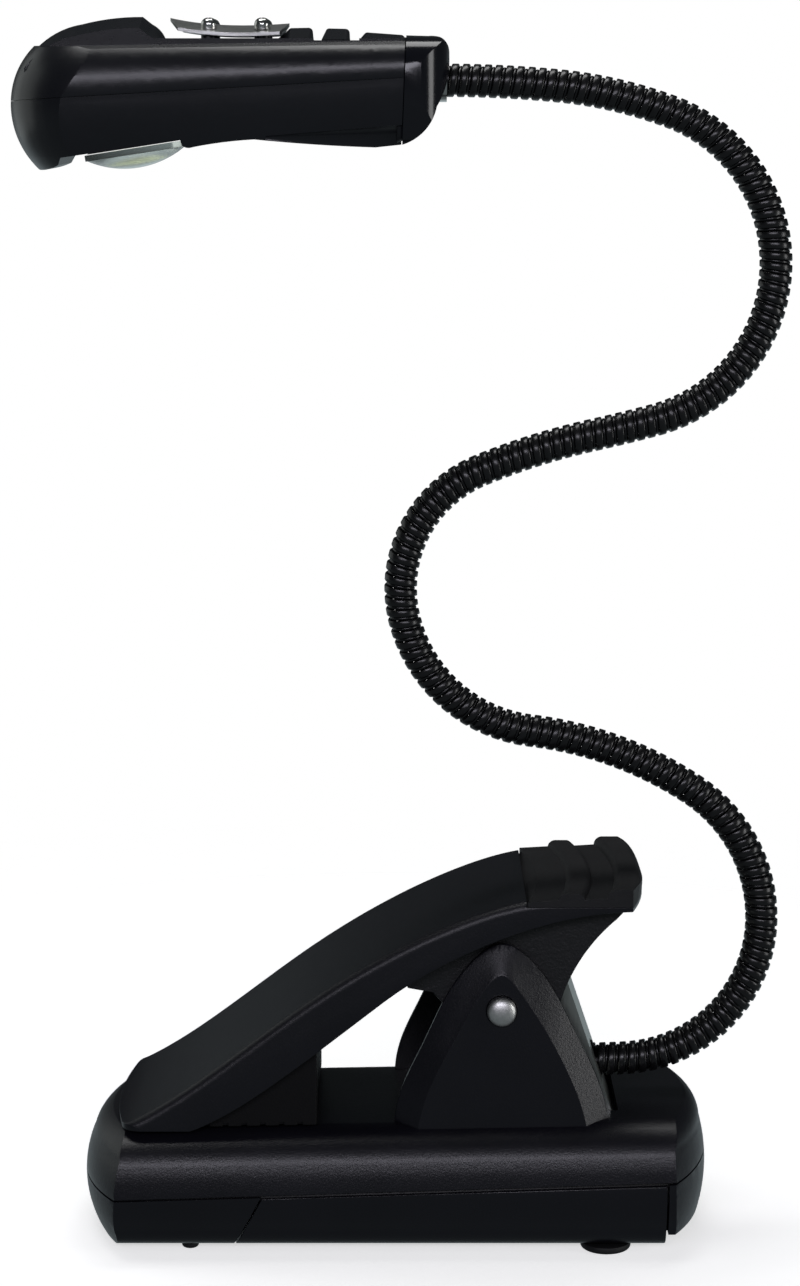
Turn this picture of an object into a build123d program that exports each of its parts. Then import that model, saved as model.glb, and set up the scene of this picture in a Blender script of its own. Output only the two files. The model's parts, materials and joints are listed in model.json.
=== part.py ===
from build123d import *
from math import cos, radians, sin, tan
import os

# Clip-on reading lamp: a battery base with a sprung clip lever, a gooseneck and an LED head.
# Millimetres. X runs from the lamp's nose side (-) to the gooseneck side (+), Y across the
# base, Z up. Z = 0 is the plane that the feet stand on.

# ---------------------------------------------------------------- driving dimensions
FOOT_H = 1.1                 # shell bottom above the standing plane
WALL = 1.6                   # housing wall

# battery base
BASE_LEFT, BASE_RIGHT = -48.6, 46.8      # tips of the two curved ends
BASE_HALF_W = 19.7
END_R = 35.8                 # plan radius of each curved end
TOP_Z = 19.0                 # top face at X = 0
TOP_SLOPE = 1.05             # degrees, the top rises towards +X
PART_Z = 10.5                # parting line at X = 0
PART_SLOPE = 1.83            # degrees, the parting line rises towards +X
SEAM_GAP = 0.3               # visible groove between the shells
DOOR_RIGHT = 39.6            # right edge of the battery door
DOOR_LEFT_TOP = -19.5        # left edge of the door at the parting line
DOOR_LEFT_LOW = -24.5        # left edge of the door at the bottom
DOOR_PIVOT = (39.5, 2.7)     # X, Z of the door's hinge
END_STEP_Z = 3.4             # underside of the fixed end behind the door

# three AAA cells between two contact faces
CELL_R, CELL_L = 5.15, 43.3
CELL_BUTTON = 1.2
CELL_PITCH = 11.0
CELL_Z = 9.0
SPRING_L = 3.0
CONTACT_LEFT = -13.5
CONTACT_RIGHT = CONTACT_LEFT + CELL_L + CELL_BUTTON + SPRING_L

# clip
PIN_X, PIN_Z = 15.0, 36.8    # lever pivot
PIN_R = 1.7
CHEEK_IN, CHEEK_OUT = 12.0, 15.0
CHEEK_BEVEL = 2.2            # depth of the bevel round each cheek's outer face
LEVER_HALF_W = 16.5
LEVER_WALL = 1.8
TIP_R = 3.0                  # plan radius of the lever tip's corners
CORE_IN, CORE_OUT = 10.4, 11.8
STEEL_IN, STEEL_OUT = 8.2, 9.3

# gooseneck
NECK_R = 2.5
SOCKET_R = 2.6
NECK_START = (29.0, 24.6)    # X, Z where the neck leaves the bracket, heading +X
NECK_ARCS = [                # length in mm and turn in degrees of each tangent arc
    (6.0, 4.0), (32.0, 83.5), (25.0, 59.0), (26.5, 26.5), (28.5, -71.5), (27.0, -79.0),
    (18.0, -10.0), (9.5, 2.5), (61.5, 144.5), (17.5, 15.0), (17.5, 5.5)]
NECK_JOINTS = [18.0, 66.0, 112.0, 168.0, 214.0, 258.0]   # distance along the neck

# lamp head
HEAD_NOSE = -58.4
HEAD_REAR = 0.6              # seam with the end cap
NOSE_R = 14.6                # plan radius of the nose
HEAD_PART = (172.0, 175.4)   # parting line height at the nose and at the rear seam
ROOF = 0.26                  # fall of the spine's top per mm across
PLATE_FALL = 0.20            # the same for the metal plate on it
SPINE_HALF_W = 7.0
LENS_X, LENS_Z = -39.9, 164.9
LENS_TILT = 8.8              # degrees, the lens looks slightly towards the nose
LENS_R = 7.7

os.makedirs("parts", exist_ok=True)


# ---------------------------------------------------------------- helpers
def save(shape, name):
    """Write one sub-part."""
    shape.label = name
    export_step(shape, f"parts/{name}.step")


def block(x0, x1, y0, y1, z0, z1):
    """Box between two corners."""
    return Pos((x0 + x1) / 2, (y0 + y1) / 2, (z0 + z1) / 2) * Box(x1 - x0, y1 - y0, z1 - z0)


def rod_y(x, z, radius, y0, y1):
    """Cylinder along Y."""
    return Plane((x, y0, z), x_dir=(1, 0, 0), z_dir=(0, 1, 0)) * Cylinder(
        radius, y1 - y0, align=(Align.CENTER, Align.CENTER, Align.MIN))


def side_face(curves):
    """Closed face in the XZ plane from curves given as (x, z)."""
    return Plane.XZ * make_face(curves)


def slab(face, half_width):
    """Side profile extruded to both sides of the middle plane."""
    return extrude(face, half_width, both=True)


def below(z_mid, slope, clearance=0.0):
    """Half space under a plane that rises towards +X."""
    cut = Pos(0, 0, -100 - clearance) * Box(400, 200, 200)
    return Pos(0, 0, z_mid) * Rot(0, -slope, 0) * cut


def above(z_mid, slope, clearance=0.0):
    """Half space over a plane that rises towards +X."""
    cut = Pos(0, 0, 100 + clearance) * Box(400, 200, 200)
    return Pos(0, 0, z_mid) * Rot(0, -slope, 0) * cut


def mirrored(curves):
    """The curves and their mirror image about the vertical middle line."""
    return curves + [mirror(c, Plane.YZ) for c in curves]


# ---------------------------------------------------------------- battery base
def base_ends(inset):
    """Solid that gives the base its two barrel-shaped ends."""
    right_axis = BASE_RIGHT - END_R
    left_axis = BASE_LEFT + END_R
    right = side_face([
        Line((right_axis, 0), (44.6 - inset, 0)),
        ThreePointArc((44.6 - inset, 0), (BASE_RIGHT - inset, 9.0), (45.9 - inset, 16.5)),
        ThreePointArc((45.9 - inset, 16.5), (45.0 - inset, 18.9), (42.6 - inset, 20.2)),
        Line((42.6 - inset, 20.2), (right_axis, 20.2)),
        Line((right_axis, 20.2), (right_axis, 0))])
    left = side_face([
        Line((left_axis, 0), (-45.8 + inset, 0)),
        ThreePointArc((-45.8 + inset, 0), (BASE_LEFT + inset, 8.5), (-47.3 + inset, 14.6)),
        ThreePointArc((-47.3 + inset, 14.6), (-46.0 + inset, 17.0), (-43.4 + inset, 18.6)),
        Line((-43.4 + inset, 18.6), (left_axis, 20.2)),
        Line((left_axis, 20.2), (left_axis, 0))])
    right_end = revolve(right, Axis((right_axis, 0, 0), (0, 0, 1)))
    left_end = revolve(left, Axis((left_axis, 0, 0), (0, 0, 1)))
    middle = 0.0
    right_half = right_end & block(middle, 60, -30, 30, -5, 30)
    left_half = left_end & block(-60, middle, -30, 30, -5, 30)
    return right_half + left_half


def base_upper_bar(inset):
    """Bar with the upper shell's cross-section, following the sloping top."""
    half = mirrored([
        ThreePointArc((0, 0.1), (6.2, 0.08), (12.4, 0)),
        ThreePointArc((12.4, 0), (16.25, -1.21), (18.7, -4.4)),
        ThreePointArc((18.7, -4.4), (19.4, -7.2), (BASE_HALF_W - 0.1, -10.5)),
        Line((BASE_HALF_W - 0.1, -10.5), (BASE_HALF_W - 0.1, -16.0)),
        Line((BASE_HALF_W - 0.1, -16.0), (0, -16.0))])
    face = make_face(half)
    if inset:
        face = offset(face, -inset)
    bar = extrude(Plane.YZ * face, 60, both=True)
    return Pos(0, 0, TOP_Z) * Rot(0, -TOP_SLOPE, 0) * bar


def base_lower_bar(inset):
    """Bar with the lower shell's cross-section: it tapers down to the flat underside."""
    half = mirrored([
        Line((0, FOOT_H), (14.6, FOOT_H)),
        ThreePointArc((14.6, FOOT_H), (17.0, 2.0), (18.1, 4.2)),
        ThreePointArc((18.1, 4.2), (19.3, 7.4), (BASE_HALF_W, 10.5)),
        Line((BASE_HALF_W, 10.5), (BASE_HALF_W, 16.0)),
        Line((BASE_HALF_W, 16.0), (0, 16.0))])
    face = make_face(half)
    if inset:
        face = offset(face, -inset)
    return extrude(Plane.YZ * face, 60, both=True)


def door_side(grow):
    """Region that the battery door fills, seen from the side, grown by a clearance."""
    right = DOOR_RIGHT + grow
    slant = (DOOR_LEFT_TOP - DOOR_LEFT_LOW) / 10.0
    low = DOOR_LEFT_LOW - grow - 4 * slant
    high = DOOR_LEFT_TOP - grow + 6 * slant
    return slab(side_face([
        Polyline((low, -2), (right, -2), (right, 18), (high, 18), (low, -2))]), 30)


def base_upper_shell():
    """Upper housing: closed top with slots for the lower jaw pad and the bracket."""
    rim = above(PART_Z, PART_SLOPE, SEAM_GAP / 2)
    outer = base_upper_bar(0) & base_ends(0) & rim
    inner = base_upper_bar(WALL) & base_ends(WALL) & rim
    shell = outer - inner
    shell -= jaw_pad_pocket()
    shell -= block(2.2, 32.9, -STEEL_OUT - 0.1, STEEL_OUT + 0.1, 16.8, 25)
    return shell


def jaw_pad_pocket():
    """Shallow recess in the base's top for the lower jaw pad."""
    pocket = block(-40.2, -13.0, -13.2, 13.2, -0.8, 2.0)
    return Pos(0, 0, TOP_Z) * Rot(0, -TOP_SLOPE, 0) * pocket


def lower_jaw_pad():
    """Ribbed rubber pad that lies flush in the base's top."""
    pad = block(-40.0, -13.2, -13.0, 13.0, -0.8, 0.0)
    for i in range(9):
        x = -37.6 + 2.8 * i
        pad -= block(x - 0.35, x + 0.35, -13.0, 13.0, -0.3, 0.1)
    return Pos(0, 0, TOP_Z) * Rot(0, -TOP_SLOPE, 0) * pad


def base_lower_shell():
    """Fixed lower housing: nose part, stepped end part and the battery tray between them."""
    rim = below(PART_Z, PART_SLOPE, SEAM_GAP / 2)
    outer = base_lower_bar(0) & base_ends(0) & rim
    inner = base_lower_bar(WALL) & base_ends(WALL)
    shell = outer - (inner & block(-60, DOOR_LEFT_LOW - WALL, -30, 30, 0, 30))
    shell -= inner & block(DOOR_RIGHT + WALL, 60, -30, 30, END_STEP_Z + WALL, 30)
    shell -= door_side(0.3)
    shell -= block(DOOR_RIGHT, 60, -30, 30, 0, END_STEP_Z)
    shell -= hinge_knuckles(0.12)
    front_rib = (inner & block(-25.5, -21.0, -17.0, 17.0, 8.0, 15.4)) - door_side(0.3)
    return shell + battery_tray() + front_rib


def battery_tray():
    """Ceiling over the cells with the two walls that carry the contacts."""
    z = 15.4
    left, right = CONTACT_LEFT - 0.4, CONTACT_RIGHT + 0.4
    ceiling = block(DOOR_LEFT_TOP - 2.5, 40.9, -14.4, 14.4, z, z + 1.2)
    front_wall = block(left - 1.2, left, -15.0, 15.0, 3.9, z)
    rear_wall = block(right, right + 1.2, -15.0, 15.0, 3.9, z)
    front_tie = block(-23.0, left, -14.4, 14.4, z - 1.2, z)
    rear_tie = block(DOOR_RIGHT + 0.3, 40.9, -14.4, 14.4, 9.8, z)
    return ceiling + front_wall + rear_wall + front_tie + rear_tie


def hinge_knuckles(grow):
    """The door's two round knuckles, on the hinge axis."""
    x, z = DOOR_PIVOT
    near = rod_y(x, z, 1.2 + grow, -12.0 - grow, -6.0 + grow)
    far = rod_y(x, z, 1.2 + grow, 6.0 - grow, 12.0 + grow)
    return near + far


def battery_door():
    """Door that wraps the underside and both lower side walls, with its knuckles."""
    rim = below(PART_Z, PART_SLOPE, SEAM_GAP / 2 + 0.2)
    outer = base_lower_bar(0) & base_ends(0) & rim
    inner = base_lower_bar(1.5) + block(-60, 60, -17.9, 17.9, 9, 20)
    region = door_side(0)
    door = (outer & region) - inner
    door += hinge_knuckles(0)
    return door


def cell_frames():
    """Frame at each cell's flat end, local Z pointing to its button; the middle one is turned."""
    frames = []
    for i in (-1, 0, 1):
        side = 1 if i else -1
        x = CONTACT_LEFT + SPRING_L if i else CONTACT_RIGHT - SPRING_L
        frames.append(Plane((x, i * CELL_PITCH, CELL_Z), x_dir=(0, 1, 0), z_dir=(side, 0, 0)))
    return frames


def battery_cells():
    """Three AAA cells side by side, alternating ends, each with its button."""
    can = Cylinder(CELL_R, CELL_L, align=(Align.CENTER, Align.CENTER, Align.MIN))
    button = Pos(0, 0, CELL_L) * Cylinder(
        1.9, CELL_BUTTON - 0.02, align=(Align.CENTER, Align.CENTER, Align.MIN))
    cell = can + button
    return Compound(children=[frame * cell for frame in cell_frames()])


def battery_springs():
    """Coil spring at each cell's flat end, as touching rings of rising radius."""
    spring = None
    for k in range(5):
        ring = Pos(0, 0, -0.33 - 0.57 * k) * Torus(2.2 + 0.3 * k, 0.3)
        spring = ring if spring is None else spring + ring
    return Compound(children=[frame * spring for frame in cell_frames()])


def battery_contacts():
    """Flat contact plate at both ends of each cell."""
    plates = []
    for i in (-1, 0, 1):
        y = i * CELL_PITCH
        plates.append(block(CONTACT_LEFT - 0.38, CONTACT_LEFT, y - 4.0, y + 4.0, 5.0, 13.0))
        plates.append(block(CONTACT_RIGHT, CONTACT_RIGHT + 0.38, y - 4.0, y + 4.0, 5.0, 13.0))
    return Compound(children=plates)


def rubber_feet():
    """Two disc feet under the battery door."""
    feet = []
    for side in (-1, 1):
        foot = Pos(30.8, side * 13.6, 0) * Cylinder(
            3.8, FOOT_H - 0.02, align=(Align.CENTER, Align.CENTER, Align.MIN))
        feet.append(fillet(foot.edges().group_by(Axis.Z)[0], 0.5))
    return Compound(children=feet)


def front_nubs():
    """Two small domed feet under the fixed nose part."""
    nubs = []
    for side in (-1, 1):
        nub = Pos(-31.8, side * 13.6, 0) * Cylinder(
            1.3, FOOT_H - 0.02, align=(Align.CENTER, Align.CENTER, Align.MIN))
        nubs.append(fillet(nub.edges().group_by(Axis.Z)[0], 0.5))
    return Compound(children=nubs)


# ---------------------------------------------------------------- clip bracket
def cheek():
    """Arch-shaped cheek with a wide bevel round its flat outer face (near side)."""
    foot_z = 17.6
    outline = side_face([
        Spline((-1.0, foot_z), (0.0, 24.0), (3.0, 30.5), (6.4, 37.7), (10.4, 43.4), (15.0, 46.4),
               (20.1, 43.2), (23.8, 37.6), (26.5, 32.2), (29.3, 26.2), (31.4, foot_z)),
        Line((31.4, foot_z), (-1.0, foot_z))])
    face = side_face([
        Spline((2.4, foot_z), (4.5, 25.3), (7.5, 31.3), (9.8, 35.6), (12.4, 40.0), (15.0, 42.2),
               (17.6, 39.8), (20.8, 35.0), (23.8, 29.6), (26.8, 22.6), (28.0, foot_z)),
        Line((28.0, foot_z), (2.4, foot_z))])
    depth = CHEEK_OUT - CHEEK_IN
    plate = Pos(0, -CHEEK_IN, 0) * extrude(outline, depth - CHEEK_BEVEL, dir=(0, -1, 0))
    rim = loft([Pos(0, -CHEEK_OUT + CHEEK_BEVEL, 0) * outline, Pos(0, -CHEEK_OUT, 0) * face], ruled=True)
    solid = plate + rim
    solid -= base_upper_bar(0)
    solid -= rod_y(PIN_X, PIN_Z, PIN_R + 0.05, -30, 30)
    solid -= rod_y(PIN_X, PIN_Z, 2.35, -CHEEK_OUT - 0.1, -CHEEK_OUT + 0.5)
    return solid


def plate_outline(x_shift):
    """Line of the sloping steel plate, from its foot to its top, shifted along X."""
    return [(32.6 + x_shift, 17.4), (24.9 + x_shift, 40.2)]


def steel_bracket():
    """U-shaped steel bracket: two flanges beside the pin and the sloping back plate."""
    low, high = plate_outline(0)
    low_in, high_in = plate_outline(-1.05)
    back = slab(side_face([Polyline(low, high, high_in, low_in, low)]), STEEL_OUT)
    back = fillet(back.edges().filter_by(Axis.X, reverse=True).sort_by(Axis.Z)[-1:], 0.3)
    flange_side = side_face([Polyline(
        (2.6, 17.4), (11.4, 39.6), (12.6, 40.9), (15.0, 41.4), (17.4, 40.9),
        high_in, low_in, (2.6, 17.4))])
    flanges = slab(flange_side, STEEL_OUT) - slab(flange_side, STEEL_IN)
    bracket = back + flanges
    bracket -= rod_y(PIN_X, PIN_Z, PIN_R + 0.05, -30, 30)
    neck_hole = Plane((20, 0, NECK_START[1]), x_dir=(0, 1, 0), z_dir=(1, 0, 0)) * Cylinder(
        3.1, 40)
    return bracket - neck_hole


def pivot_pin():
    """Pin through both cheeks, with a low domed head at each end."""
    reach = CHEEK_OUT - 0.5
    pin = rod_y(PIN_X, PIN_Z, PIN_R, -reach, reach)
    for side in (-1, 1):
        y0, y1 = sorted((side * reach, side * (reach + 1.2)))
        head = rod_y(PIN_X, PIN_Z, 2.25, y0, y1)
        outer = head.edges().group_by(Axis.Y)[-1 if side > 0 else 0]
        pin += fillet(outer, 0.7)
    return pin


def torsion_spring():
    """Closing spring round the pin: touching coils and a leg that bears on the base."""
    wire = 0.6
    coil = None
    for k in range(12):
        y = -6.05 + 1.1 * k
        ring = Plane((PIN_X, y, PIN_Z), x_dir=(1, 0, 0), z_dir=(0, 1, 0)) * Torus(3.4, wire)
        coil = ring if coil is None else coil + ring
    for y in (-6.05, 6.05):
        leg = Plane((PIN_X - 3.4, y, PIN_Z), x_dir=(0, 1, 0), z_dir=(-0.28, 0, -0.96)) * Cylinder(
            wire, 16.2, align=(Align.CENTER, Align.CENTER, Align.MIN))
        coil += leg
    return coil


# ---------------------------------------------------------------- clip lever
def lever_ridge(dx=0.0, dz=0.0):
    """Top line of the lever, shifted."""
    points = [(-43.8, 19.4), (-41.6, 19.6), (-39.3, 20.6), (-35.0, 23.1), (-29.7, 26.7),
              (-14.8, 37.7), (0.0, 46.7), (9.0, 50.8), (18.8, 53.7), (28.0, 54.3), (38.0, 54.0)]
    return Spline(*[(x + dx, z + dz) for x, z in points])


def lever_plan(inset):
    """Plan outline with its curved tip and end."""
    w = LEVER_HALF_W - inset
    face = make_face([
        ThreePointArc((-41.4 + inset, -w), (-43.3 + inset, 0), (-41.4 + inset, w)),
        Line((-41.4 + inset, w), (34.4 - inset, w)),
        ThreePointArc((34.4 - inset, w), (36.8 - inset, 0), (34.4 - inset, -w)),
        Line((34.4 - inset, -w), (-41.4 + inset, -w))])
    tip_corners = face.vertices().sort_by(Axis.X)[:2]
    return extrude(fillet(tip_corners, TIP_R - inset), 80)


def clamp_lever():
    """Moulded lever: an upside-down trough with a recess for the soft grip."""
    top = lever_ridge()
    floor = 18.75
    outline = side_face([
        top,
        Line((38.0, 54.0), (38.0, 52.2)),
        Spline((38.0, 52.2), (23.7, 50.9), (11.9, 46.9), (0.7, 40.9), (-7.4, 34.8),
               (-17.8, 26.9), (-28.9, 19.9), (-33.5, 18.2), (-38.0, 18.0)),
        Line((-38.0, 18.0), (-43.8, 18.0)),
        Line((-43.8, 18.0), (-43.8, 19.4))])
    lever = slab(outline, LEVER_HALF_W)
    sides = lever.edges().filter_by(lambda e: abs(abs(e.center().Y) - LEVER_HALF_W) < 0.01)
    lever = fillet(sides.filter_by(lambda e: e.length > 90).sort_by(Axis.Z)[-2:], 1.3)
    lever &= lever_plan(0) & block(-60, 60, -30, 30, floor, 80)
    hollow_side = side_face([
        lever_ridge(0.7, -2.1),
        Line((38.7, 51.9), (38.7, 10)),
        Line((38.7, 10), (-43.1, 10)),
        Line((-43.1, 10), (-43.1, 17.3))])
    hollow = slab(hollow_side, LEVER_HALF_W - LEVER_WALL) & lever_plan(LEVER_WALL)
    lever -= hollow
    lever -= slab(side_face([Polyline((18.6, 52.9), (40, 52.9), (40, 60), (18.6, 60), (18.6, 52.9))]), 20)
    return lever


def thumb_grip():
    """Soft grip on the pressed end, with two raised ribs across it."""
    outline = side_face([
        Line((18.8, 52.95), (18.8, 53.75)),
        Line((18.8, 53.75), (23.3, 54.0)),
        ThreePointArc((23.3, 54.0), (23.7, 54.7), (24.5, 55.0)),
        Line((24.5, 55.0), (26.3, 55.0)),
        ThreePointArc((26.3, 55.0), (26.9, 54.7), (27.2, 54.1)),
        Line((27.2, 54.1), (30.6, 54.3)),
        ThreePointArc((30.6, 54.3), (31.0, 55.2), (31.8, 55.6)),
        Line((31.8, 55.6), (34.6, 55.6)),
        ThreePointArc((34.6, 55.6), (36.3, 55.0), (37.0, 53.4)),
        Line((37.0, 53.4), (37.0, 52.95)),
        Line((37.0, 52.95), (18.8, 52.95))])
    return slab(outline, LEVER_HALF_W) & lever_plan(0)


def lever_core():
    """Two grained webs under the lever that carry the pin between the cheeks."""
    web_side = side_face([
        Line((0.9, 39.3), (4.8, 38.6)),
        ThreePointArc((4.8, 38.6), (9.4, 34.0), (15.0, 30.6)),
        ThreePointArc((15.0, 30.6), (20.4, 32.4), (23.6, 35.9)),
        ThreePointArc((23.6, 35.9), (26.2, 42.4), (32.4, 49.9)),
        Spline((32.4, 49.9), (18.1, 49.6), (8.3, 46.7), (0.9, 43.0)),
        Line((0.9, 43.0), (0.9, 39.3))])
    webs = slab(web_side, CORE_OUT) - slab(web_side, CORE_IN)
    cap_side = side_face([
        Spline((0.9, 43.0), (8.3, 46.7), (18.1, 49.6), (32.4, 49.9)),
        Line((32.4, 49.9), (33.6, 51.2)),
        Spline((33.6, 51.2), (19.4, 50.9), (9.8, 47.9), (0.9, 43.9)),
        Line((0.9, 43.9), (0.9, 43.0))])
    core = webs + slab(cap_side, CORE_OUT)
    return core - rod_y(PIN_X, PIN_Z, PIN_R + 0.06, -30, 30)


def upper_jaw_pad():
    """Jaw block inside the lever's tip; its ribbed underside meets the lower pad."""
    roof = lever_ridge(0.7, -2.2)
    block_side = side_face([
        roof,
        Line((38.7, 51.8), (38.7, 10)),
        Line((38.7, 10), (-43.1, 10)),
        Line((-43.1, 10), (-43.1, 17.2))])
    jaw = slab(block_side, LEVER_HALF_W - LEVER_WALL - 0.1) & lever_plan(LEVER_WALL + 0.1)
    jaw &= block(-36.6, -12.7, -30, 30, 0, 80)
    jaw &= above(TOP_Z + 0.3, TOP_SLOPE)
    for i in range(9):
        x = -37.6 + 2.8 * i
        jaw -= block(x - 0.35, x + 0.35, -20, 20, 10, TOP_Z + 0.75 + x * tan(radians(TOP_SLOPE)))
    return jaw


# ---------------------------------------------------------------- gooseneck
def neck_state(distance):
    """Position (X, Z) and heading in degrees at a distance along the neck."""
    x, z = NECK_START
    heading = 0.0
    for length, turn in NECK_ARCS:
        step = min(length, distance)
        swept = radians(turn) * step / length
        radius = length / radians(turn)
        h = radians(heading)
        x += radius * (sin(h + swept) - sin(h))
        z += radius * (cos(h) - cos(h + swept))
        heading += turn * step / length
        distance -= step
        if distance <= 1e-9:
            break
    return x, z, heading


def neck_breaks():
    """Distances at which one arc of the neck ends and the next begins."""
    ends, total = [0.0], 0.0
    for length, _ in NECK_ARCS:
        total += length
        ends.append(total)
    return ends


def neck_tube(start, end, radius):
    """Round tube along the neck between two distances."""
    stops = [start] + [b for b in neck_breaks() if start + 0.01 < b < end - 0.01] + [end]
    tube = None
    for a, b in zip(stops, stops[1:]):
        points = [neck_state(a + (b - a) * t) for t in (0, 0.5, 1)]
        arc = ThreePointArc(*[(x, 0, z) for x, z, _ in points])
        h = radians(points[0][2])
        section = Plane((points[0][0], 0, points[0][1]), x_dir=(0, 1, 0),
                        z_dir=(cos(h), 0, sin(h))) * Circle(radius)
        piece = sweep(section, path=arc)
        tube = piece if tube is None else tube + piece
    return tube


def neck_segment(start, end, socket, ball):
    """One length of gooseneck with a socket at its start and a ball at its end."""
    segment = neck_tube(start, end, NECK_R)
    if ball:
        x, z, _ = neck_state(end)
        segment += Pos(x, 0, z) * Sphere(NECK_R)
    if socket:
        x, z, _ = neck_state(start)
        segment -= Pos(x, 0, z) * Sphere(SOCKET_R)
    return segment


def neck_ferrule():
    """Crimped collar where the neck leaves the steel plate."""
    x0 = 26.2
    face = Plane((x0, 0, NECK_START[1]), x_dir=(0, 1, 0), z_dir=(1, 0, 0))
    collar = face * Cylinder(2.9, 3.4, align=(Align.CENTER, Align.CENTER, Align.MIN))
    flange = face * Cylinder(3.9, 1.0, align=(Align.CENTER, Align.CENTER, Align.MIN))
    bore = face * Cylinder(NECK_R + 0.02, 20)
    return collar + flange - bore


# ---------------------------------------------------------------- lamp head
def head_section(x, part_z, shoulder_z):
    """Cross-section of the head: convex upper side, crease at the parting, tapered lower side."""
    half = mirrored([
        Line((0, shoulder_z + 0.5), (10.6, shoulder_z + 0.2)),
        Line((10.6, shoulder_z + 0.2), (11.5, shoulder_z - 0.3)),
        ThreePointArc((11.5, shoulder_z - 0.3), (13.1, (shoulder_z + part_z) / 2 + 0.6),
                      (13.4, part_z)),
        ThreePointArc((13.4, part_z), (12.6, part_z - 5.4), (10.0, part_z - 11.4)),
        Line((10.0, part_z - 11.4), (0, part_z - 11.4))])
    return Pos(x, 0, 0) * (Plane.YZ * make_face(half))


def head_bar():
    """The head's long form, between a section at the nose and one behind the end cap."""
    slope = (HEAD_PART[1] - HEAD_PART[0]) / (HEAD_REAR - HEAD_NOSE)
    x0, x1 = -62.0, 10.0
    z0 = HEAD_PART[0] + slope * (x0 - HEAD_NOSE)
    z1 = HEAD_PART[0] + slope * (x1 - HEAD_NOSE)
    return loft([head_section(x0, z0, 179.6), head_section(x1, z1, 180.7)], ruled=True)


def head_side():
    """Side profile of both shells together, from the nose to the end cap's seam."""
    return side_face([
        ThreePointArc((-54.6, 180.4), (-57.5, 176.2), (HEAD_NOSE, 172.0)),
        ThreePointArc((HEAD_NOSE, 172.0), (-57.5, 166.6), (-54.3, 161.8)),
        ThreePointArc((-54.3, 161.8), (-52.0, 162.0), (-50.5, 162.6)),
        Line((-50.5, 162.6), (-50.0, 163.7)),
        Line((-50.0, 163.7), (-32.3, 166.3)),
        Line((-32.3, 166.3), (-32.1, 165.5)),
        ThreePointArc((-32.1, 165.5), (-31.5, 165.2), (-30.6, 165.25)),
        ThreePointArc((-30.6, 165.25), (-26.0, 166.0), (-21.5, 166.4)),
        ThreePointArc((-21.5, 166.4), (-12.0, 165.6), (-3.8, 165.2)),
        Line((-3.8, 165.2), (0.0, 165.6)),
        Line((0.0, 165.6), (HEAD_REAR, 182)),
        Line((HEAD_REAR, 182), (-50, 182)),
        Line((-50, 182), (-54.6, 180.4))])


def nose_barrel(inset):
    """Barrel that rounds the nose in plan and gives it its two facets."""
    axis_x = HEAD_NOSE + NOSE_R
    face = side_face([
        Line((axis_x, 158), (-52.6 + inset, 158)),
        Line((-52.6 + inset, 158), (-54.3 + inset, 161.8)),
        ThreePointArc((-54.3 + inset, 161.8), (-57.5 + inset, 166.6), (HEAD_NOSE + inset, 172.0)),
        ThreePointArc((HEAD_NOSE + inset, 172.0), (-57.5 + inset, 176.2), (-54.6 + inset, 180.4)),
        Line((-54.6 + inset, 180.4), (-53.0 + inset, 183)),
        Line((-53.0 + inset, 183), (axis_x, 183)),
        Line((axis_x, 183), (axis_x, 158))])
    barrel = revolve(face, Axis((axis_x, 0, 0), (0, 0, 1)))
    return (barrel & block(-70, axis_x, -30, 30, 150, 190)) + block(
        axis_x, 20, -30, 30, 150, 190)


def head_form():
    """Outer form of the head without its spine."""
    return head_bar() & slab(head_side(), 30) & nose_barrel(0)


def head_hollow():
    """Room inside the head for the lamp and the switch."""
    return block(-48.0, -3.0, -9.2, 9.2, 168.6, 178.2)


def part_slope():
    """Slope of the head's parting line in degrees and its height at X = 0."""
    rise = (HEAD_PART[1] - HEAD_PART[0]) / (HEAD_REAR - HEAD_NOSE)
    return Vector(1, 0, 0).get_angle(Vector(1, 0, rise)), HEAD_PART[0] - rise * HEAD_NOSE


def roof_bar(curves, half_width, fall=ROOF):
    """Profile that falls away to both sides of the middle plane like a low roof."""
    face = side_face(curves)
    reach = half_width * (1 + fall ** 2) ** 0.5
    near = extrude(face, reach, dir=(0, -1, -fall))
    return near + mirror(near, Plane.XZ)


def hood():
    """Raised hood over the nose end of the spine."""
    return roof_bar([
        ThreePointArc((-55.6, 178.6), (-52.4, 181.6), (-47.7, 183.4)),
        ThreePointArc((-47.7, 183.4), (-43.2, 184.25), (-38.6, 184.5)),
        Line((-38.6, 184.5), (-37.2, 183.4)),
        ThreePointArc((-37.2, 183.4), (-36.1, 182.6), (-35.2, 181.2)),
        Line((-35.2, 181.2), (-35.2, 177.6)),
        Line((-35.2, 177.6), (-55.6, 177.6)),
        Line((-55.6, 177.6), (-55.6, 178.6))], SPINE_HALF_W)


def spine_rib(x0, x_top, x1, z_left, z_right):
    """One raised block of the spine, with softened upper corners."""
    r = 0.7
    return roof_bar([
        Line((x0, 178.6), (x0, 181.2)),
        Line((x0, 181.2), (x_top, z_left - 0.2)),
        ThreePointArc((x_top, z_left - 0.2), (x_top + 0.2, z_left - 0.05), (x_top + 0.5, z_left)),
        Line((x_top + 0.5, z_left), (x1 - r, z_right)),
        ThreePointArc((x1 - r, z_right), (x1 - 0.2, z_right - 0.2), (x1, z_right - r)),
        Line((x1, z_right - r), (x1, 178.6)),
        Line((x1, 178.6), (x0, 178.6))], SPINE_HALF_W)


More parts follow.
